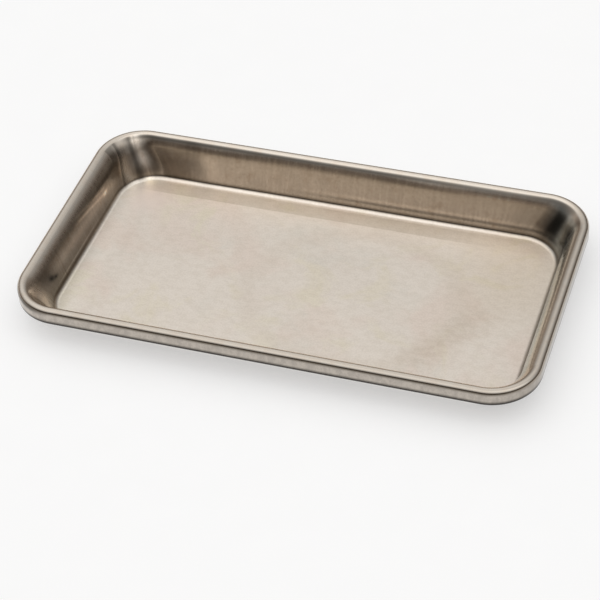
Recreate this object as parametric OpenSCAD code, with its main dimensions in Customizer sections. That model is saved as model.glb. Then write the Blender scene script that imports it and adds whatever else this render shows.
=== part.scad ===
// Shallow rectangular tray, drawn in one pressing from a single stainless steel blank.
// The floor, the sloping walls and the rolled rim are one continuous sheet.
// The origin is the middle of the surface the tray stands on; +X is its length, +Z is up.

/* [Tray] */
// Length over the rim
tray_length = 225; // [180:1:320]
// Width over the rim
tray_width = 127; // [100:1:200]
// Height from the standing surface to the top of the rim
tray_height = 19; // [18:0.5:26]
// Thickness of the sheet
sheet_t = 0.7; // [0.5:0.1:1]

/* [Corners] */
// Corner radius of the rim, over its outer face
corner_r = 21; // [18:0.5:30]
// Corner radius of the flat floor
floor_corner_r = 16; // [8:0.5:24]

/* [Wall] */
// From the rim's outer face in to the edge of the flat floor
floor_inset = 13.2; // [12.8:0.1:15]
// Inner radius of the bend between the floor and the wall
floor_bend_r = 2.3; // [1:0.1:3]
// Radius of the flare that eases the wall out into the rim, along the sides
flare_r = 18; // [10:0.5:20]
// Radius of the same flare across the ends
flare_end_r = 12; // [9:0.5:12.5]

/* [Rolled rim] */
// Outer radius of the bend from the crest of the rim out to its outer face
rim_r = 2.15; // [1.6:0.05:2.6]
// Outer radius of the bend from the crest in toward the wall, along the sides
crown_r = 2.15; // [1.6:0.05:3]
// The same inner bend across the ends, where it is fuller
crown_end_r = 3.6; // [1.6:0.05:4.4]
// Fall of the sheet from level where the inner bend gives way to the flare, along the sides
flare_tilt = 52; // [48:1:56]
// The same fall across the ends
flare_end_tilt = 36; // [34:1:44]
// Straight outer face between the outer bend and the curl
rim_drop = 4; // [2:0.1:5]
// Outer radius of the curl under the rim
curl_r = 1.6; // [1.3:0.1:2]
// Angle that the curl turns, from facing outward round to its cut edge
curl_turn = 165; // [90:5:180]

/* [Hidden] */

// Facets along each bend of the sheet, and around each corner of the tray
floor_bend_steps = 5;
wall_steps = 5;
flare_steps = 4;
rim_inner_steps = 4;
rim_outer_steps = 6;
curl_steps = 8;
corner_steps = 10;

// Centres of the bends that are alike all round, measured inward from the rim's outer face
// and up from the standing surface
floor_bend_centre = [floor_inset, sheet_t + floor_bend_r];
rim_centre = [rim_r, tray_height - rim_r];
curl_centre = [curl_r, rim_centre.y - rim_drop];

// The floor's corners are rounder than an even wall would leave them, so the corner
// walls lean out more: their radius grows by this much from the rim down to the floor.
corner_growth = floor_corner_r - (corner_r - floor_inset);

// Share of the corner growth at a height: none at the top of the wall, all of it at the floor
function growth_at(z, wall_top) =
    (1 - cos(180 * min(1, max(0, (wall_top - z) / (wall_top - sheet_t))))) / 2;

function toward(a) = [cos(a), sin(a)];
function polar(centre, r, a) = centre + r * toward(a);
function reversed(list) = [for (i = [len(list) - 1 : -1 : 0]) list[i]];

// Closed run of section points, the upper face out to the curl and then the under face back:
// [inset, height, share of the corner growth]. The section is that of a side at end = 0 and
// that of an end at end = 1. The wall is the straight line touching the flare and floor bend.
function section_at(end) =
    let (
        inner_r = crown_r + (crown_end_r - crown_r) * end,
        tilt = flare_tilt + (flare_end_tilt - flare_tilt) * end,
        wide_r = flare_r + (flare_end_r - flare_r) * end,
        inner_centre = [rim_r, tray_height - inner_r],
        flare_centre = inner_centre - (wide_r - inner_r) * toward(90 - tilt),
        span = floor_bend_centre - flare_centre,
        draft = acos((wide_r + floor_bend_r) / norm(span)) - atan2(-span.y, span.x),
        wall_top = inner_centre.y + inner_r * cos(tilt),
        // The two faces are the same run of bends, one sheet thickness apart
        faces = [for (depth = [0, sheet_t])
            let (
                wall_foot = polar(floor_bend_centre, floor_bend_r + depth, 180 + draft),
                wall_head = polar(flare_centre, wide_r - depth, draft),
                wall_points = concat(
                    // floor bend, from flat up to the draft of the wall
                    [for (i = [0 : floor_bend_steps])
                        polar(floor_bend_centre, floor_bend_r + depth,
                            -90 - (90 - draft) * i / floor_bend_steps)],
                    // straight wall
                    [for (i = [1 : wall_steps])
                        wall_foot + (wall_head - wall_foot) * i / wall_steps],
                    // flare, easing out toward the rim
                    [for (i = [1 : flare_steps])
                        polar(flare_centre, wide_r - depth,
                            draft + (90 - tilt - draft) * i / flare_steps)]
                ),
                rim_points = concat(
                    // up to the top of the rim, then over to its outer face
                    [for (i = [1 : rim_inner_steps])
                        polar(inner_centre, inner_r - depth,
                            90 - tilt + tilt * i / rim_inner_steps)],
                    [for (i = [1 : rim_outer_steps])
                        polar(rim_centre, rim_r - depth, 90 + 90 * i / rim_outer_steps)],
                    // down the outer face and round the curl
                    [for (i = [0 : curl_steps])
                        polar(curl_centre, curl_r - depth, 180 + curl_turn * i / curl_steps)]
                )
            )
            concat(
                [for (p = wall_points) [p.x, p.y, growth_at(p.y, wall_top)]],
                [for (p = rim_points) [p.x, p.y, 0]]
            )]
    )
    concat(faces[0], reversed(faces[1]));

// Stations round the tray, counter-clockwise seen from above: the quarter turns of the four
// corners, with the straight sides and ends between them
stations = [for (corner = [0 : 3], i = [0 : corner_steps])
    [corner, 90 * (corner + i / corner_steps)]];
sections = [for (s = stations) section_at(pow(cos(s[1]), 2))];
section_size = len(sections[0]);
ring_size = len(stations);

// Place of one section point at one station
function place(p, station) =
    let (
        corner = station[0],
        r = corner_r - p.x + corner_growth * p.z,
        cx = tray_length / 2 - p.x - r,
        cy = tray_width / 2 - p.x - r
    )
    [(corner == 0 || corner == 3 ? cx : -cx) + r * cos(station[1]),
     (corner < 2 ? cy : -cy) + r * sin(station[1]),
     p.y];

module tray_pan() {
    last_ring = ring_size * (section_size - 1);
    color([0.80, 0.76, 0.71])
        polyhedron(
            points = [for (k = [0 : section_size - 1], i = [0 : ring_size - 1])
                place(sections[i][k], stations[i])],
            faces = concat(
                // flat floor, seen from above
                [[for (i = [ring_size - 1 : -1 : 0]) i]],
                // bands between neighbouring rings
                [for (k = [0 : section_size - 2], i = [0 : ring_size - 1])
                    let (a = k * ring_size + i, b = k * ring_size + (i + 1) % ring_size)
                    each [[a, b, b + ring_size], [a, b + ring_size, a + ring_size]]],
                // flat underside of the floor
                [[for (i = [0 : ring_size - 1]) last_ring + i]]
            )
        );
}

tray_pan();
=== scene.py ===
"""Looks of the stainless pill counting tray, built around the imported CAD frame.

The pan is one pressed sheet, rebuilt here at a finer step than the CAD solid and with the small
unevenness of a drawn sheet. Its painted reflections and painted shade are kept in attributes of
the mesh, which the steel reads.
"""
import math

import bpy
import numpy as np
from mathutils import Matrix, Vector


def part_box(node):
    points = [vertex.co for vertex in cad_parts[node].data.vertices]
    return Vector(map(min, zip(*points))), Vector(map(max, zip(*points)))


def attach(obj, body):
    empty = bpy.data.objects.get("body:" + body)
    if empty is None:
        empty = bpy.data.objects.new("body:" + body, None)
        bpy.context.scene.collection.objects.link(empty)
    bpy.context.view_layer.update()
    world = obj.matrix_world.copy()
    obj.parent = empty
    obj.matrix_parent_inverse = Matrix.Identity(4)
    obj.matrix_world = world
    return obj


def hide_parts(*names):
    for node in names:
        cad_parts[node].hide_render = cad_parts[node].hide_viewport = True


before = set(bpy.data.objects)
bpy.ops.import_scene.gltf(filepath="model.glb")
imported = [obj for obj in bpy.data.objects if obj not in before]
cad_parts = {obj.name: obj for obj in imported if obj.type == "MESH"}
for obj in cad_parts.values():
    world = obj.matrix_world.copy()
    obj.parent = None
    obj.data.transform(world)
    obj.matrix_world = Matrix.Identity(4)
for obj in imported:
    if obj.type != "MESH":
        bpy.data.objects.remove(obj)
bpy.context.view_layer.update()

# ---------------------------------------------------------------- sizes, metres
MM = 0.001
low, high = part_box("tray_pan")
LENGTH, WIDTH, HEIGHT = high.x - low.x, high.y - low.y, high.z
SHEET = 0.7 * MM
CORNER_R = 21.0 * MM
FLOOR_CORNER_R = 16.0 * MM
FLOOR_INSET = 13.2 * MM              # from the rim's outer face in to the edge of the flat floor
FLOOR_BEND_R = 2.3 * MM
RIM_R = 2.15 * MM                    # bend from the crest of the rim out to its outer face
# The next three are each a pair: along the sides, and across the ends
CROWN_R = (2.15 * MM, 3.6 * MM)      # bend from the crest of the rim in toward the wall
FLARE_TILT = (52.0, 36.0)            # fall of the sheet where that bend gives way to the flare
FLARE_R = (18.0 * MM, 12.0 * MM)
RIM_DROP = 4.0 * MM                  # straight outer face, between the rim's bend and the curl
CURL_R = 1.6 * MM
CURL_TURN = 165.0
CUT_EASE = 0.1 * MM                  # softened edge of the shear cut, hidden in the curl
CUT_EASE_TURN = 3.0                  # degrees that the curl's two faces stop short of the cut

# Unevenness of the sheet
WALL_SWELLS = ((0.050, 3, 0.6), (0.035, 7, 2.1), (0.022, 13, 4.0))   # mm, waves round, phase
WRINKLE = 0.035 * MM
WRINKLES_A_CORNER, WRINKLE_SHIFT = 4.5, 0.13     # the shift is in waves, from corner to corner
FLOOR_CROWN = 0.10 * MM

# Steps of the mesh
BEND_STEPS, WALL_STEPS, FLARE_STEPS = 10, 26, 14
RIM_STEPS, SKIRT_STEPS, CURL_STEPS = 12, 6, 12
CORNER_STEPS, LONG_STEPS, SHORT_STEPS = 32, 64, 56
FLOOR_RINGS, UNDER_RINGS = 30, 12


# ---------------------------------------------------------------- shaping helpers
def polar(centre, radius, degrees):
    a = math.radians(degrees)
    return np.array([centre[0] + radius * math.cos(a), centre[1] + radius * math.sin(a)])


def smooth(x, a, b):
    """0 at a and before it, 1 at b and beyond, eased between."""
    t = np.clip((x - a) / (b - a), 0, 1)
    return t * t * (3 - 2 * t)


def bump(v, centre, width):
    """A soft hump, 1 high."""
    return np.exp(-((v - centre) / width) ** 2)


# ---------------------------------------------------------------- section of the sheet
rim_centre = np.array([RIM_R, HEIGHT - RIM_R])
curl_centre = np.array([CURL_R, rim_centre[1] - RIM_DROP])
bend_centre = np.array([FLOOR_INSET, SHEET + FLOOR_BEND_R])


def section_at(end):
    """The closed section on a side (0), an end (1) or between, from the floor out
    over the upper face and back under: rows of [inset, height, normal inset, normal height].
    The normal is the upper face's. Also the distance of each row over the sheet."""
    crown_r, tilt, flare_r = (a + (b - a) * end for a, b in (CROWN_R, FLARE_TILT, FLARE_R))
    crown_centre = np.array([RIM_R, HEIGHT - crown_r])
    flare_centre = crown_centre - (flare_r - crown_r) * polar((0, 0), 1, 90 - tilt)
    span = bend_centre - flare_centre
    draft = math.degrees(math.acos((flare_r + FLOOR_BEND_R) / np.linalg.norm(span))
                         - math.atan2(-span[1], span[0]))
    cut_at = 180 + CURL_TURN

    def face(depth):
        rows = []

        def arc(centre, radius, start, stop, steps, sign=1, first=1):
            for i in range(first, steps + 1):
                angle = start + (stop - start) * i / steps
                rows.append([*polar(centre, radius, angle), *polar((0, 0), sign, angle)])

        arc(bend_centre, FLOOR_BEND_R + depth, -90, -180 + draft, BEND_STEPS, sign=-1, first=0)
        foot = polar(bend_centre, FLOOR_BEND_R + depth, 180 + draft)
        head = polar(flare_centre, flare_r - depth, draft)
        for i in range(1, WALL_STEPS + 1):
            rows.append([*(foot + (head - foot) * i / WALL_STEPS), *polar((0, 0), 1, draft)])
        arc(flare_centre, flare_r - depth, draft, 90 - tilt, FLARE_STEPS)
        arc(crown_centre, crown_r - depth, 90 - tilt, 90, RIM_STEPS)
        arc(rim_centre, RIM_R - depth, 90, 180, RIM_STEPS)
        for i in range(1, SKIRT_STEPS):
            rows.append([depth, rim_centre[1] - RIM_DROP * i / SKIRT_STEPS, -1.0, 0.0])
        arc(curl_centre, CURL_R - depth, 180, cut_at - CUT_EASE_TURN, CURL_STEPS, first=0)
        return rows

    upper = face(0.0)
    cut = [[*polar(curl_centre, CURL_R - d, cut_at), *polar((0, 0), 1, cut_at)]
           for d in (CUT_EASE, SHEET - CUT_EASE)]
    lengths = np.linalg.norm(np.diff(np.array(upper)[:, :2], axis=0), axis=1)
    run = np.concatenate([[0], np.cumsum(lengths)])
    across = np.concatenate([run, [run[-1]] * 2, run[::-1]])
    return np.array(upper + cut + face(SHEET)[::-1]), across


# Last row of each part of the upper face, and the number of rows in that face
I_BEND = BEND_STEPS
I_WALL = I_BEND + WALL_STEPS
I_FLARE = I_WALL + FLARE_STEPS
I_CREST = I_FLARE + RIM_STEPS
I_RIM = I_CREST + RIM_STEPS
I_SKIRT = I_RIM + SKIRT_STEPS
N_UPPER = I_SKIRT + CURL_STEPS + 1

# ---------------------------------------------------------------- stations around the tray
# Each station is a corner angle or a share of a straight side, counter-clockwise from +X.
# The corners are 0 back right, 1 back left, 2 front left and 3 front right.
stations = []
for corner in range(4):
    for i in range(CORNER_STEPS + 1):
        stations.append((corner, 90.0 * (corner + i / CORNER_STEPS), None))
    steps = LONG_STEPS if corner in (0, 2) else SHORT_STEPS
    for i in range(1, steps):
        stations.append((corner, 90.0 * (corner + 1), i / steps))
n_ring = len(stations)
st_corner = np.array([s[0] for s in stations])
st_angle = np.radians([s[1] for s in stations])
st_share = np.array([0.0 if s[2] is None else s[2] for s in stations])
st_straight = np.array([s[2] is not None for s in stations])
st_end = np.round(np.cos(st_angle) ** 2, 6)      # 0 on a side, 1 at an end
SIGN_X = np.array([1, -1, -1, 1])
SIGN_Y = np.array([1, 1, -1, -1])

# The arrays from here on are [row of the section, station]
sections = {end: section_at(end) for end in set(st_end)}
inset, height, n_in, n_z = (np.stack([sections[end][0][:, c] for end in st_end], 1)
                            for c in range(4))
across = np.stack([sections[end][1] for end in st_end], 1)
n_rows = len(inset)

# The floor's corners are rounder than an even wall would leave them, so the corner walls lean
# out more: none of this growth at the top of the wall, and all of it at the floor
corner_growth = FLOOR_CORNER_R - (CORNER_R - FLOOR_INSET)
wall_top = height[I_FLARE]
growth = (1 - np.cos(np.pi * np.clip((wall_top - height) / (wall_top - SHEET), 0, 1))) / 2
growth[I_FLARE:n_rows - I_FLARE] = 0.0


def ring(inward, grown):
    """Place in plan of every station, at an inset and a share of the corner's growth."""
    radius = CORNER_R - inward + corner_growth * grown
    cx = LENGTH / 2 - inward - radius
    cy = WIDTH / 2 - inward - radius
    out_x, out_y = radius * np.cos(st_angle), radius * np.sin(st_angle)
    following = (st_corner + 1) % 4
    x, y = SIGN_X[st_corner] * cx + out_x, SIGN_Y[st_corner] * cy + out_y
    x2, y2 = SIGN_X[following] * cx + out_x, SIGN_Y[following] * cy + out_y
    return x + (x2 - x) * st_share, y + (y2 - y) * st_share


# Halfway down the wall: the distance round the tray to each station, and its place in millimetres
mid_x, mid_y = ring(np.full(n_ring, FLOOR_INSET / 2), np.full(n_ring, 0.5))
step_len = np.hypot(np.diff(np.append(mid_x, mid_x[0])), np.diff(np.append(mid_y, mid_y[0])))
along = np.concatenate([[0], np.cumsum(step_len)[:-1]])
perimeter = step_len.sum()
st_x, st_y = mid_x / MM, mid_y / MM
# Share of the way round its corner, and how far each station belongs to each of the four walls
st_u = (np.degrees(st_angle) / 90) % 1.0 * np.where(st_straight, 0, 1)
on_back, on_left = np.clip(np.sin(st_angle), 0, 1) ** 2, np.clip(-np.cos(st_angle), 0, 1) ** 2
on_front, on_right = np.clip(-np.sin(st_angle), 0, 1) ** 2, np.clip(np.cos(st_angle), 0, 1) ** 2


def in_corner(number):
    """1 at the stations of one corner, and 0 elsewhere."""
    return np.where((st_corner == number) & ~st_straight, 1.0, 0.0)


# ---------------------------------------------------------------- unevenness of the drawn sheet
def wall_lift(k):
    """How far each station of a section row stands off its nominal place."""
    s = across[k]
    window = smooth(s, 0, across[I_BEND]) * (1 - smooth(s, across[I_WALL], across[I_FLARE]))
    turn = 2 * math.pi * along / perimeter
    slow = sum(rise * np.sin(waves * turn + phase) for rise, waves, phase in WALL_SWELLS) * MM
    gathered = np.sin(2 * math.pi * (WRINKLES_A_CORNER * st_u + WRINKLE_SHIFT * st_corner))
    return window * (slow + WRINKLE * gathered * np.sin(math.pi * st_u) ** 2)


def floor_lift(x, y):
    """A shallow crown with a few soft swells; nothing goes below the standing surface."""
    u, v = x / (LENGTH / 2 - FLOOR_INSET), y / (WIDTH / 2 - FLOOR_INSET)
    rise = np.clip(1 - u * u, 0, 1) * np.clip(1 - v * v, 0, 1)
    swell = (1 + 0.5 * np.sin(2.6 * math.pi * u + 0.7) * np.cos(1.8 * math.pi * v + 0.4)
             + 0.35 * np.sin(4.3 * math.pi * u + 2.0 * math.pi * v))
    return FLOOR_CROWN * rise * swell


# ---------------------------------------------------------------- tone of the walls: painted reflections and shade
# Each function gives the share of the sheet's brightness left at every station, at a share w of
# the way down the wall; these are painted reflections and painted shade. A mark is a strength
# times a bump or an eased step, over w, over the place along the wall in millimetres or over the
# share of the way round a corner.
# the most that painted highlights in a corner may brighten the steel
BRIGHTEST_PAINTED_STREAK = 1.45


def back_tone(w):
    """Painted shade under the rim, more so at the left, with a few vertical drawing streaks painted
    light and dark.
    """
    reach = 0.45 - 0.15 * smooth(st_x, -60, 40)
    tone = 1 - (0.34 - 0.26 * smooth(st_x, -70, 0)) * (1 - smooth(w, 0.0, reach))
    tone *= 1 - 0.18 * bump(st_x, -90, 9) - 0.22 * bump(st_x, -69, 3.2)
    tone *= 1 + 0.16 * bump(st_x, -62, 4) * bump(w, 0.6, 0.35)
    tone *= 1 - 0.32 * smooth(st_x, 70, 92)
    tone *= 0.99 - 0.08 * smooth(st_x, -20, 20) - 0.06 * smooth(st_x, 30, 60)
    # a painted highlight band near the top, with a painted dark line of shade between it and the rim
    to_right = smooth(st_x, 20, 65)
    tone *= (1 + (0.35 + 0.65 * to_right) * bump(w, 0.135 + 0.05 * to_right, 0.06)
             - (0.62 - 0.22 * to_right) * bump(w, 0.04, 0.045))
    # painted light and shade of a shallow crease above the foot, over the right half: dark, with a
    # lighter line on each side
    creased = smooth(st_x, -38, 25)
    tone *= 1 - creased * (0.48 * bump(w, 0.865, 0.035) - 0.28 * bump(w, 0.78, 0.04)
                           - 0.10 * bump(w, 0.935, 0.025))
    return tone


def left_tone(w):
    """Brown, under painted dark reflection, with a lighter painted strip along the middle, the
    painted highlights of a slanting crease and a dark spot.
    """
    tone = 0.44 + 0.34 * bump(w, 0.60 + 0.002 * st_y, 0.16) * smooth(st_y, -38, -18)
    # the crease is two painted highlight lines, and ends in a painted glint at a kink
    crease = 0.64 - 0.010 * (27 - st_y)
    near_crease = smooth(st_y, -8, 6) * (1 - smooth(st_y, 25, 29))
    tone += near_crease * (0.45 * bump(w, crease, 0.040) + 0.35 * bump(w, crease - 0.12, 0.035))
    tone += 1.4 * bump(st_y, 27.5, 1.6) * bump(w, 0.65, 0.05)
    # a painted highlight line along the foot
    tone += 0.30 * bump(w, 0.93, 0.018) * smooth(st_y, -42, -20) * (1 - smooth(st_y, 0, 20))
    # the spot is two dark blobs, below a duller patch
    tone *= 1 - 0.97 * bump(st_y, -34.0, 2.0) * bump(w, 0.60, 0.10)
    tone *= 1 - 0.90 * bump(st_y, -31.5, 1.6) * bump(w, 0.69, 0.06)
    tone *= 1 - 0.45 * bump(st_y, -35.0, 5.0) * bump(w, 0.42, 0.22)
    # all of it fades into a painted highlight at the top
    return 1.20 - (1.20 - tone) * smooth(w, 0.06, 0.30)


def right_tone(w):
    """Painted reflection, dull at the back and bright along the middle, and painted shade at the
    foot.
    """
    to_back, halfway = smooth(st_y, -28, 12), bump(st_y, -8, 16)
    tone = 0.80 + 0.35 * (1 - smooth(st_y, -28, 5)) - 0.40 * smooth(w, 0.62, 0.85)
    tone *= (1 + (0.50 + 0.50 * to_back) * bump(w, 0.20 - 0.07 * halfway, 0.12)
             - 0.25 * to_back * bump(w, 0.46, 0.12))
    tone *= 1 - 0.65 * bump(w, 0.90, 0.14) * (1 - smooth(st_y, -25, 12))
    return tone


def back_right_streaks(u, w):
    """A painted near-black reflection patch, between a lighter painted streak and a darker one."""
    patch = np.exp(-((u - 0.64) / 0.15) ** 4 - ((w - 0.52) / 0.42) ** 4)
    return ((1 - 0.90 * patch) * (1 + 0.45 * bump(u, 0.37, 0.07))
            * (1 - 0.35 * bump(u, 0.16, 0.08)))


def back_left_streaks(u, w):
    """Painted light and dark reflection streaks by turns, where the sheet was gathered."""
    return ((1 - 0.10 * bump(u, 0.10, 0.10)) * (1 + 0.85 * bump(u, 0.295, 0.055))
            * (1 - 0.60 * bump(u, 0.435, 0.06))
            * (1 + 0.9 * bump(u, 0.385, 0.018) * (1 - smooth(w, 0.15, 0.4)))
            * (1 + 0.30 * bump(u, 0.60, 0.09)) * (1 - 0.65 * bump(u, 0.735, 0.022))
            * (1 + 1.1 * bump(u, 0.79, 0.02) * bump(w, 0.5, 0.35))
            * (1 - 0.42 * smooth(u, 0.40, 0.55) * (1 - smooth(w, 0.2, 0.4))))


def front_left_streaks(u, w):
    """One lighter patch, low down, a painted reflection."""
    return 1 + 1.4 * bump(u, 0.42, 0.20) * bump(w, 0.62, 0.22)


CORNER_STREAKS = (back_right_streaks, back_left_streaks, front_left_streaks)


def wall_tone(w):
    """Painted reflections and shade on all four walls; the front one has none."""
    tone = on_back * back_tone(w) + on_left * left_tone(w) + on_front + on_right * right_tone(w)
    for number, streaks in enumerate(CORNER_STREAKS):
        tone = tone * (1 + (streaks(st_u, w) - 1) * in_corner(number))
    return np.where(st_straight, tone, np.minimum(tone, BRIGHTEST_PAINTED_STREAK))


# ---------------------------------------------------------------- painted shade and light of each row of the section
# Lines of painted shade: the middle and half width of each, as shares of the bend out or in from the
# crest of the rim, or of the floor's bend
SHOULDER_AT, SHOULDER_WIDE = 0.72, 0.34
INNER_AT, INNER_WIDE = 0.35, 0.45
FOOT_AT, FOOT_WIDE = 0.9, 0.38


def line_at(share, middle, half_width):
    """1 in the middle of a line, eased to 0 at its edges."""
    return float(smooth(1 - abs(share - middle) / half_width, 0, 1))


def outward(share):
    """Row at a share of the bend from the crest of the rim out to its outer face."""
    return I_CREST + share * RIM_STEPS


def row_zones(row):
    """How far a row belongs to the floor, the rim and the outer face."""
    return (1 - float(smooth(row, 0, I_BEND)),
            float(smooth(row, I_WALL + 0.5 * FLARE_STEPS, I_FLARE)),
            float(smooth(row, outward(0.7), I_RIM)))


def row_lines(row):
    """Painted shade: a dark line on the rim's shoulder, a dull line inside the rim and a dark line
    at the wall's foot.
    """
    shoulder = line_at((row - I_CREST) / RIM_STEPS, SHOULDER_AT, SHOULDER_WIDE)
    inner = line_at((I_CREST - row) / RIM_STEPS, INNER_AT, INNER_WIDE)
    foot = line_at(row / I_BEND, FOOT_AT, FOOT_WIDE)
    # the line at the foot fades toward the back of both ends and round the left corners
    fading = (on_right + 0.5 * on_left) * smooth(st_y, -15, 12)
    fading = np.maximum(fading, 1.3 * np.sin(math.pi * st_u) * (in_corner(1) + in_corner(2)))
    return (shoulder * (0.55 + 0.45 * on_front), inner * (1 - on_front) * (1 - on_back),
            foot * (1 - 0.6 * fading))


def rim_tone(row):
    """Painted brightness of the rim: duller outside its crest and brighter inside along the front,
    duller along the right, with a painted highlight inside the front right corner and painted shade
    outside the front left."""
    inward = smooth(I_CREST - row, -0.2 * RIM_STEPS, 0.35 * RIM_STEPS)
    skirt = smooth(row, outward(0.75), I_RIM)
    below_line = (smooth(row, outward(0.55), outward(0.8))
                  * (1 - smooth(row, I_RIM, I_RIM + 0.3 * SKIRT_STEPS)))
    return (1 - (0.25 - 0.62 * inward) * on_front - (0.08 + 0.30 * skirt) * on_right
            + 0.22 * inward * in_corner(3) * bump(st_u, 0.30, 0.25)
            - 0.55 * below_line * in_corner(2) * bump(st_u, 0.6, 0.3))


def row_tone(k, row, on_floor):
    """Painted brightness of a row: the floor's edge, the wall and the rim, eased into each other."""
    down = (across[I_FLARE] - across[k]) / (across[I_FLARE] - across[I_BEND])
    tone = 1 + (wall_tone(down) - 1) * (1 - on_floor) * smooth(down, -0.08, 0.0)
    # a painted highlight along the floor's bend at the back
    tone = tone * (1 + 0.13 * on_back * (1 - smooth(row, 0.2 * I_BEND, 0.6 * I_BEND)))
    return tone + (rim_tone(row) - tone) * smooth(down, 0.0, -0.05)


def row_shade(row):
    """Painted shade: a dark line where the outer face turns under into the curl."""
    return float(smooth(row, I_SKIRT - 0.27 * SKIRT_STEPS, I_SKIRT - 0.05 * SKIRT_STEPS))


# ---------------------------------------------------------------- mesh of the pan
verts, faces = [], []
# What the steel reads, three values a vertex: where the drawing streaks are taken from; shares
# of floor, rim and outer face; lines of painted shade; painted brightness, painted shade under the
# rim, share of the ends
layers = {"pan_wrap": [], "pan_zone": [], "pan_shade_lines": [], "pan_tone": []}

# Drawing streaks run straight down the sides and fan round the corners: a vertex is placed by
# its own position along a side, and by its station's in a corner. The sides that follow
# corners 0 and 2 run along x.
st_own = smooth(st_share, 0, 0.12) * (1 - smooth(st_share, 0.88, 1)) * st_straight
own_x, own_y = st_own * (st_corner % 2 == 0), st_own * (st_corner % 2 == 1)
st_ends = on_left + 0.8 * on_right


def add_points(count, place, *values):
    """Add vertices, and what the steel reads at them, in the order of the layers."""
    for rows, triple in zip((verts, *layers.values()), (place, *values)):
        rows.extend(zip(*(np.broadcast_to(v, count) for v in triple)))


def add_ring(x, y, z, s, zones, lines=(0.0, 0.0, 0.0), tone=1.0, shade=0.0):
    wrap = (mid_x + (x - mid_x) * own_x, mid_y + (y - mid_y) * own_y, s)
    add_points(n_ring, (x, y, z), wrap, zones, lines, (tone, shade, st_ends))


def band(a, b, flip=False):
    """Faces between the two rings that start at vertices a and b."""
    for j in range(n_ring):
        j2 = (j + 1) % n_ring
        quad = (a + j, b + j, b + j2, a + j2)
        faces.append(quad[::-1] if flip else quad)


def fill_floor(edge, z, rings, upper_face):
    """Rings shrinking to the middle of the floor, from the ring that starts at vertex edge."""
    zones = (1.0, 0.0, 0.0 if upper_face else 1.0)
    edge_x, edge_y, _ = np.array(verts[edge:edge + n_ring]).T
    last = edge
    for i in range(1, rings):
        shrink = 1 - i / rings
        x, y = edge_x * shrink, edge_y * shrink
        here = len(verts)
        add_ring(x, y, z + floor_lift(x, y), 0.0, zones)
        band(here, last, flip=not upper_face)
        last = here
    middle = len(verts)
    add_points(1, (0.0, 0.0, z + floor_lift(0.0, 0.0)), (0.0, 0.0, 0.0), zones, (0.0, 0.0, 0.0),
               (1.0, 0.0, 0.0))
    for j in range(n_ring):
        tri = (last + j, middle, last + (j + 1) % n_ring)
        faces.append(tri[::-1] if upper_face else tri)


def pan_mesh():
    """The closed sheet: the rows of the section, then the floor's two faces."""
    for k in range(n_rows):
        lift = wall_lift(k)
        x, y = ring(inset[k] + lift * n_in[k], growth[k])
        row = min(k, n_rows - 1 - k)
        on_floor, on_rim, on_skirt = row_zones(row)
        if k >= N_UPPER:
            on_skirt = 1.0
        add_ring(x, y, height[k] + lift * n_z[k], across[k], (on_floor, on_rim, on_skirt),
                 row_lines(row), row_tone(k, row, on_floor), row_shade(row))
    for k in range(n_rows - 1):
        band(k * n_ring, (k + 1) * n_ring)
    fill_floor(0, SHEET, FLOOR_RINGS, upper_face=True)
    fill_floor((n_rows - 1) * n_ring, 0.0, UNDER_RINGS, upper_face=False)
    mesh = bpy.data.meshes.new("tray_pan_sheet")
    mesh.from_pydata(verts, [], faces)
    mesh.update()
    mesh.polygons.foreach_set("use_smooth", [True] * len(mesh.polygons))
    for name, rows in layers.items():
        layer = mesh.attributes.new(name, "FLOAT_VECTOR", "POINT")
        layer.data.foreach_set("vector", np.array(rows, np.float32).ravel())
    return mesh


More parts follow.
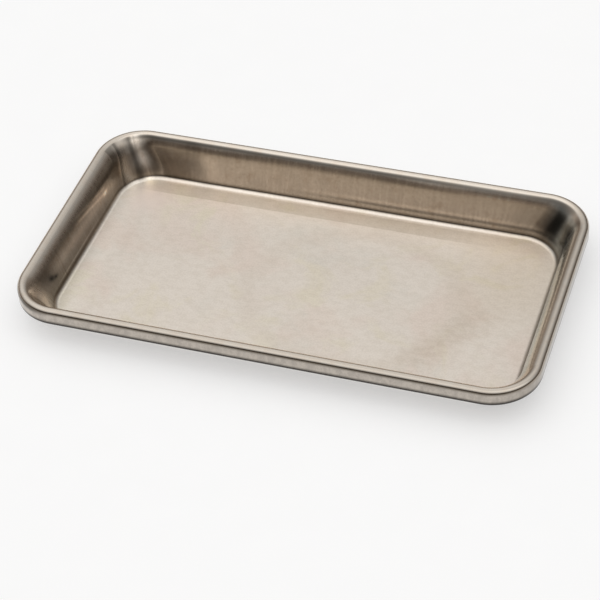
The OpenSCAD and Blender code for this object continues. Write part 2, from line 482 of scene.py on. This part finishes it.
# ---------------------------------------------------------------- node helpers
class Nodes:
    """Short calls for building a node tree; a value or a socket may be given for any input."""

    def __init__(self, tree):
        self.tree = tree
        tree.nodes.clear()

    def add(self, kind, inputs=None, **props):
        node = self.tree.nodes.new(kind)
        for key, value in props.items():
            setattr(node, key, value)
        for key, value in (inputs or {}).items():
            socket = node.inputs[key]
            if isinstance(value, bpy.types.NodeSocket):
                self.tree.links.new(value, socket)
            else:
                socket.default_value = value
        return node

    def math(self, op, a, b=0.0):
        return self.add("ShaderNodeMath", {0: a, 1: b}, operation=op).outputs[0]

    def product(self, a, b):
        return self.math("MULTIPLY", a, b)

    def vec(self, op, a, b=(0, 0, 0)):
        node = self.add("ShaderNodeVectorMath", {0: a, 1: b}, operation=op)
        return node.outputs["Value" if op in ("DOT_PRODUCT", "LENGTH") else "Vector"]

    def parts(self, vector):
        return self.add("ShaderNodeSeparateXYZ", {0: vector}).outputs

    def attribute(self, name):
        return self.add("ShaderNodeAttribute", attribute_name=name).outputs["Vector"]

    def noise(self, vector, scale, detail=2.0, rough=0.5, distortion=0.0):
        node = self.add("ShaderNodeTexNoise", {"Vector": vector, "Scale": scale, "Detail": detail,
                                               "Roughness": rough, "Distortion": distortion})
        return node.outputs["Fac"]

    def spread(self, value, a, b, c=0.0, d=1.0, eased=True):
        """value from a..b to c..d, clamped."""
        return self.add("ShaderNodeMapRange", {"Value": value, "From Min": a, "From Max": b,
                                               "To Min": c, "To Max": d},
                        interpolation_type="SMOOTHSTEP" if eased else "LINEAR").outputs[0]

    def within(self, value, edge, full):
        """0 where the value's size is past edge, 1 where it is under full."""
        return self.spread(self.math("ABSOLUTE", value), edge, full)

    def distance(self, place, centre, stretch=(1.0, 1.0, 0.0)):
        """Distance in plan from a centre, with the axes stretched."""
        return self.vec("LENGTH", self.vec("MULTIPLY", self.vec("SUBTRACT", place, centre), stretch))

    def mix(self, factor, a, b, blend="MIX"):
        node = self.add("ShaderNodeMix", data_type="RGBA", blend_type=blend)
        for index, value in ((0, factor), (6, a), (7, b)):
            if isinstance(value, bpy.types.NodeSocket):
                self.tree.links.new(value, node.inputs[index])
            else:
                node.inputs[index].default_value = value
        return node.outputs[2]

    def times(self, colour, tint):
        return self.mix(1.0, colour, tint, "MULTIPLY")

    def tinted(self, factor, colour, tint):
        """The colour, and the colour times the tint where factor is 1."""
        return self.mix(factor, colour, self.times(colour, tint))

    def mix_value(self, factor, a, b):
        return self.add("ShaderNodeMix", {0: factor, 2: a, 3: b}, data_type="FLOAT").outputs[0]

    def as_grey(self, value):
        return self.add("ShaderNodeCombineColor", {0: value, 1: value, 2: value}).outputs[0]

    def ramp(self, value, stops):
        node = self.add("ShaderNodeValToRGB", {0: value})
        node.color_ramp.interpolation = "LINEAR"
        elements = node.color_ramp.elements
        for i, (at, colour) in enumerate(stops):
            element = elements[i] if i < 2 else elements.new(at)
            element.position = at
            element.color = colour
        return node.outputs[0]


def rgb(r, g, b):
    return (r, g, b, 1.0)


def grey(v):
    return rgb(v, v, v)


# ---------------------------------------------------------------- stainless steel
# Middle of each mark on the floor
RING_CENTRE = (0.022, -0.004, 0.0)
PATCH_CENTRE = (0.086, 0.030, 0.0)
SMEAR_CENTRE = (0.066, -0.020, 0.0)
BLOOM_CENTRE = (-0.086, 0.036, 0.0)
SMEAR_TURN = math.radians(58)        # from the tray's length

# Strength and colour of each line of painted shade
FOOT_LINE = (0.85, rgb(0.12, 0.095, 0.07))
SHADE_LINE = (0.96, rgb(0.03, 0.027, 0.024))
SHOULDER_LINE = (0.85, rgb(0.09, 0.078, 0.062))
INNER_LINE = (0.40, rgb(0.52, 0.46, 0.39))

# Roughness, from least to most where the surface varies
FLOOR_ROUGH = (0.36, 0.44)
WALL_ROUGH = (0.13, 0.20)
ENDS_ROUGHER = 0.13
RIM_ROUGH = 0.15


def floor_colour(n, place, stain, grit):
    """Warm satin steel with faint pink and straw stains, grain and a few old marks, painted light
    beside the left wall and a painted reflection of the back wall along the back.
    """
    stain_b = n.noise(n.vec("ADD", place, (0.31, 0.17, 0.0)), 38.0, 3.0, 0.6, 0.9)
    stain_c = n.noise(n.vec("ADD", place, (0.11, 0.57, 0.0)), 17.0, 4.0, 0.6, 1.2)
    base = n.mix(n.spread(stain, 0.46, 0.68), rgb(0.885, 0.810, 0.724),
                 rgb(0.868, 0.762, 0.672))
    base = n.mix(n.spread(stain_b, 0.50, 0.70), base, rgb(0.862, 0.787, 0.657))
    base = n.mix(n.spread(stain_c, 0.52, 0.72), base, rgb(0.840, 0.782, 0.700))
    # a faint ring left by something round, and a warmer, duller patch at the back right
    wander = n.product(n.math("SUBTRACT", stain, 0.5), 0.012)
    ring_at = n.math("ADD", n.distance(place, RING_CENTRE, (1.0, 1.15, 0.0)), wander)
    ring_mark = n.product(n.spread(ring_at, 0.040, 0.046), n.spread(ring_at, 0.054, 0.047))
    base = n.mix(n.product(ring_mark, 0.5), base, rgb(0.82, 0.735, 0.64))
    patch = n.spread(n.distance(place, PATCH_CENTRE, (1.0, 0.75, 0.0)), 0.040, 0.006)
    base = n.tinted(n.product(patch, 0.6), base, rgb(0.90, 0.85, 0.77))
    grain = n.noise(n.vec("MULTIPLY", place, (1.0, 1.6, 1.0)), 240.0, 5.0, 0.7)
    base = n.tinted(n.spread(grain, 0.42, 0.62, 0.0, 0.75), base, rgb(0.935, 0.927, 0.912))
    base = n.tinted(n.spread(grit, 0.4, 0.6, 0.0, 0.8), base, rgb(0.94, 0.935, 0.93))
    # a dull smear toward the front right, and a pink bloom in the back left corner
    turned = n.add("ShaderNodeVectorRotate", {"Vector": place, "Center": SMEAR_CENTRE,
                                              "Angle": -SMEAR_TURN}).outputs[0]
    smear = n.parts(n.vec("SUBTRACT", turned, SMEAR_CENTRE))
    smear_at = n.product(n.within(n.math("ADD", smear[1], wander), 0.014, 0.0),
                         n.within(smear[0], 0.038, 0.010))
    base = n.tinted(n.product(smear_at, n.spread(grain, 0.30, 0.60, 0.60, 1.0)), base,
                    rgb(0.905, 0.882, 0.855))
    bloom = n.spread(n.distance(place, BLOOM_CENTRE), 0.014, 0.003)
    base = n.mix(n.product(bloom, 0.6), base, rgb(0.87, 0.745, 0.675))
    # painted light beside the left wall, and a duller band along the back that is a painted
    # reflection of the back wall
    x, y, _ = n.parts(place)
    base = n.tinted(n.spread(x, -0.085, -0.099), base, rgb(1.15, 1.17, 1.18))
    wall_reflection_at = n.math("ADD", y, n.product(x, 0.004))
    in_wall_reflection = n.product(n.product(n.spread(wall_reflection_at, 0.0417, 0.0423),
                                  n.spread(wall_reflection_at, 0.0502, 0.0490)),
                        n.product(n.spread(x, -0.098, -0.078), n.spread(x, 0.088, 0.030)))
    return n.tinted(n.product(in_wall_reflection, 0.9), base, rgb(0.80, 0.785, 0.755))


def wall_colour(n, place, streak, mottle, cloud, grit):
    """Browner steel, with draw lines down the wall, mottle and a cooler right end."""
    base = n.mix(n.spread(streak, 0.32, 0.68), rgb(0.615, 0.535, 0.452), rgb(0.72, 0.635, 0.542))
    base = n.mix(n.spread(mottle, 0.50, 0.72), base, rgb(0.58, 0.485, 0.395))
    base = n.mix(n.spread(cloud, 0.48, 0.66, 0.0, 0.7), base, rgb(0.58, 0.51, 0.435))
    x = n.parts(place)[0]
    base = n.mix(n.product(n.spread(x, 0.090, 0.099), 0.9), base, rgb(0.53, 0.575, 0.565))
    return n.tinted(n.spread(grit, 0.4, 0.62), base, rgb(0.90, 0.89, 0.88))


def rim_colour(n, mottle):
    return n.mix(n.spread(mottle, 0.35, 0.7), rgb(0.70, 0.635, 0.555), rgb(0.68, 0.595, 0.505))


def outer_face_colour(n, place):
    """Duller steel, rubbed in fine blotches."""
    rubbed = n.noise(n.vec("MULTIPLY", place, (1.0, 1.0, 0.6)), 430.0, 4.0, 0.7)
    return n.mix(n.spread(rubbed, 0.36, 0.64), rgb(0.67, 0.605, 0.535), rgb(0.52, 0.47, 0.42))


def stainless():
    material = bpy.data.materials.new("drawn_stainless_steel")
    material.use_nodes = True
    n = Nodes(material.node_tree)
    place = n.add("ShaderNodeTexCoord").outputs["Object"]
    on_floor, on_rim, on_skirt = n.parts(n.attribute("pan_zone"))
    on_shoulder, on_inner, on_foot = n.parts(n.attribute("pan_shade_lines"))
    tone, in_shade, on_ends = n.parts(n.attribute("pan_tone"))
    cloud = n.noise(place, 70.0, 4.0, 0.6)
    stain = n.noise(place, 26.0, 3.0, 0.55, 0.6)
    mottle = n.noise(place, 210.0, 4.0, 0.65)
    grit = n.noise(place, 1300.0)
    # the draw lines are stretched down the sheet, the third value of the wrap
    streak_at = n.vec("MULTIPLY", n.attribute("pan_wrap"), (1.0, 1.0, 0.035))
    streak = n.noise(streak_at, 620.0, 5.0, 0.72)

    colour = n.mix(on_floor, wall_colour(n, place, streak, mottle, cloud, grit),
                   floor_colour(n, place, stain, grit))
    colour = n.mix(on_rim, colour, rim_colour(n, mottle))
    colour = n.mix(n.product(on_skirt, 0.85), colour, outer_face_colour(n, place))
    # painted reflections and shade from the mesh, then the lines of painted shade
    colour = n.times(colour, n.as_grey(tone))
    for at, (strength, line) in ((on_foot, FOOT_LINE), (in_shade, SHADE_LINE),
                                 (on_shoulder, SHOULDER_LINE), (on_inner, INNER_LINE)):
        colour = n.mix(n.product(at, strength), colour, line)

    # satin floor, brighter wall and rim, with the end walls duller than the sides
    rough_floor = n.spread(cloud, 0.2, 0.8, *FLOOR_ROUGH, eased=False)
    rough_wall = n.math("ADD", n.spread(streak, 0.2, 0.8, *WALL_ROUGH, eased=False),
                        n.product(on_ends, ENDS_ROUGHER))
    rough = n.mix_value(on_rim, n.mix_value(on_floor, rough_wall, rough_floor), RIM_ROUGH)
    draw_lines = n.add("ShaderNodeBump", {
        "Strength": 0.04, "Distance": 0.05 * MM,
        "Height": n.product(streak, n.math("SUBTRACT", 1.0, on_floor))})
    shader = n.add("ShaderNodeBsdfPrincipled", {"Base Color": colour, "Metallic": 1.0,
                                                "Roughness": rough,
                                                "Normal": draw_lines.outputs[0]})
    n.add("ShaderNodeOutputMaterial", {"Surface": shader.outputs[0]})
    return material


pan = bpy.data.objects.new("tray_pan_sheet", pan_mesh())
bpy.context.scene.collection.objects.link(pan)
pan.data.materials.append(stainless())
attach(pan, "root")
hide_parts("tray_pan")

# ---------------------------------------------------------------- table
TABLE_SIDE = 4.0
TABLE_GLOW = 0.46


def table_paper():
    """Matt white with a faint fleck; its own light keeps it near the backdrop's white."""
    material = bpy.data.materials.new("white_table")
    material.use_nodes = True
    n = Nodes(material.node_tree)
    fleck = n.noise(n.add("ShaderNodeTexCoord").outputs["Object"], 60.0, 3.0)
    shader = n.add("ShaderNodeBsdfPrincipled", {"Base Color": n.mix(fleck, grey(0.59), grey(0.61)),
                                                "Roughness": 0.9, "Specular IOR Level": 0.0,
                                                "Emission Color": grey(1.0),
                                                "Emission Strength": TABLE_GLOW})
    n.add("ShaderNodeOutputMaterial", {"Surface": shader.outputs[0]})
    return material


half = TABLE_SIDE / 2
table_mesh = bpy.data.meshes.new("table")
table_mesh.from_pydata([(-half, -half, 0), (half, -half, 0), (half, half, 0), (-half, half, 0)],
                       [], [(0, 1, 2, 3)])
table_mesh.materials.append(table_paper())
table = bpy.data.objects.new("table", table_mesh)
bpy.context.scene.collection.objects.link(table)

# ---------------------------------------------------------------- camera
CAM_AZ, CAM_EL, CAM_ROLL = math.radians(20.466), math.radians(42.059), math.radians(-3.980)
CAM_DISTANCE = 0.8561
CAM_TARGET = np.array([0.00690, -0.02824, HEIGHT - RIM_R + 0.00018])
IMAGE_SIDE = 600.0
FOCAL_PX = 2074.5            # focal length, in pixels of that image
SENSOR = 36.0

toward = np.array([math.sin(CAM_AZ) * math.cos(CAM_EL), -math.cos(CAM_AZ) * math.cos(CAM_EL),
                   math.sin(CAM_EL)])
right = np.cross(-toward, [0, 0, 1])
right /= np.linalg.norm(right)
up = np.cross(right, -toward)
cam_x = math.cos(CAM_ROLL) * right + math.sin(CAM_ROLL) * up
cam_y = -math.sin(CAM_ROLL) * right + math.cos(CAM_ROLL) * up
cam_at = CAM_TARGET + CAM_DISTANCE * toward
camera_data = bpy.data.cameras.new("camera")
camera_data.sensor_width = SENSOR
camera_data.lens = FOCAL_PX * SENSOR / IMAGE_SIDE
camera_data.clip_end = 20.0
camera = bpy.data.objects.new("camera", camera_data)
camera.matrix_world = Matrix([*zip(cam_x, cam_y, toward, cam_at), (0, 0, 0, 1)])
bpy.context.scene.collection.objects.link(camera)
bpy.context.scene.camera = camera

# ---------------------------------------------------------------- studio light
# Colour of the room at shares of the way from the horizon to straight up, on the camera's side
# and on the far side: low down it is dark and warm, and overhead it is a wide white light.
CAMERA_SIDE = ((0.0, rgb(0.40, 0.345, 0.28)), (0.05, rgb(0.36, 0.31, 0.25)),
               (0.15, rgb(0.11, 0.092, 0.078)), (0.24, rgb(0.08, 0.067, 0.056)),
               (0.36, grey(0.45)), (0.50, grey(0.86)), (0.62, grey(1.0)))
FAR_SIDE = ((0.0, rgb(0.18, 0.152, 0.130)), (0.11, rgb(0.20, 0.170, 0.146)),
            (0.22, rgb(0.29, 0.262, 0.240)), (0.33, grey(0.46)), (0.42, grey(0.66)),
            (0.51, grey(0.82)), (0.67, grey(1.0)))
ROOM_LIGHT = 1.3
BACKDROP = grey(0.93)


def studio():
    world = bpy.data.worlds.new("studio")
    world.use_nodes = True
    n = Nodes(world.node_tree)
    direction = n.add("ShaderNodeTexCoord").outputs["Generated"]
    elevation = n.math("DIVIDE", n.math("ARCSINE", n.parts(direction)[2]), math.pi / 2)
    level = n.vec("NORMALIZE", n.vec("MULTIPLY", direction, (1, 1, 0)))
    facing = n.vec("DOT_PRODUCT", level, (math.sin(CAM_AZ), -math.cos(CAM_AZ), 0))
    # the far side of the room falls off toward the right
    rightward = n.vec("DOT_PRODUCT", direction, (math.cos(CAM_AZ), math.sin(CAM_AZ), 0))
    fall = n.as_grey(n.spread(rightward, -0.45, 0.75, 1.0, 0.50, eased=False))
    far_side = n.times(n.ramp(elevation, FAR_SIDE), fall)
    room = n.mix(n.spread(facing, -0.4, 0.4), far_side, n.ramp(elevation, CAMERA_SIDE))
    seen = n.add("ShaderNodeLightPath").outputs["Is Camera Ray"]
    sky = n.mix(seen, n.times(room, grey(ROOM_LIGHT)), BACKDROP)
    background = n.add("ShaderNodeBackground", {"Color": sky, "Strength": 1.0})
    n.add("ShaderNodeOutputWorld", {"Surface": background.outputs[0]})
    return world


bpy.context.scene.world = studio()
view = bpy.context.scene.view_settings
view.view_transform = "Standard"
view.look = "None"
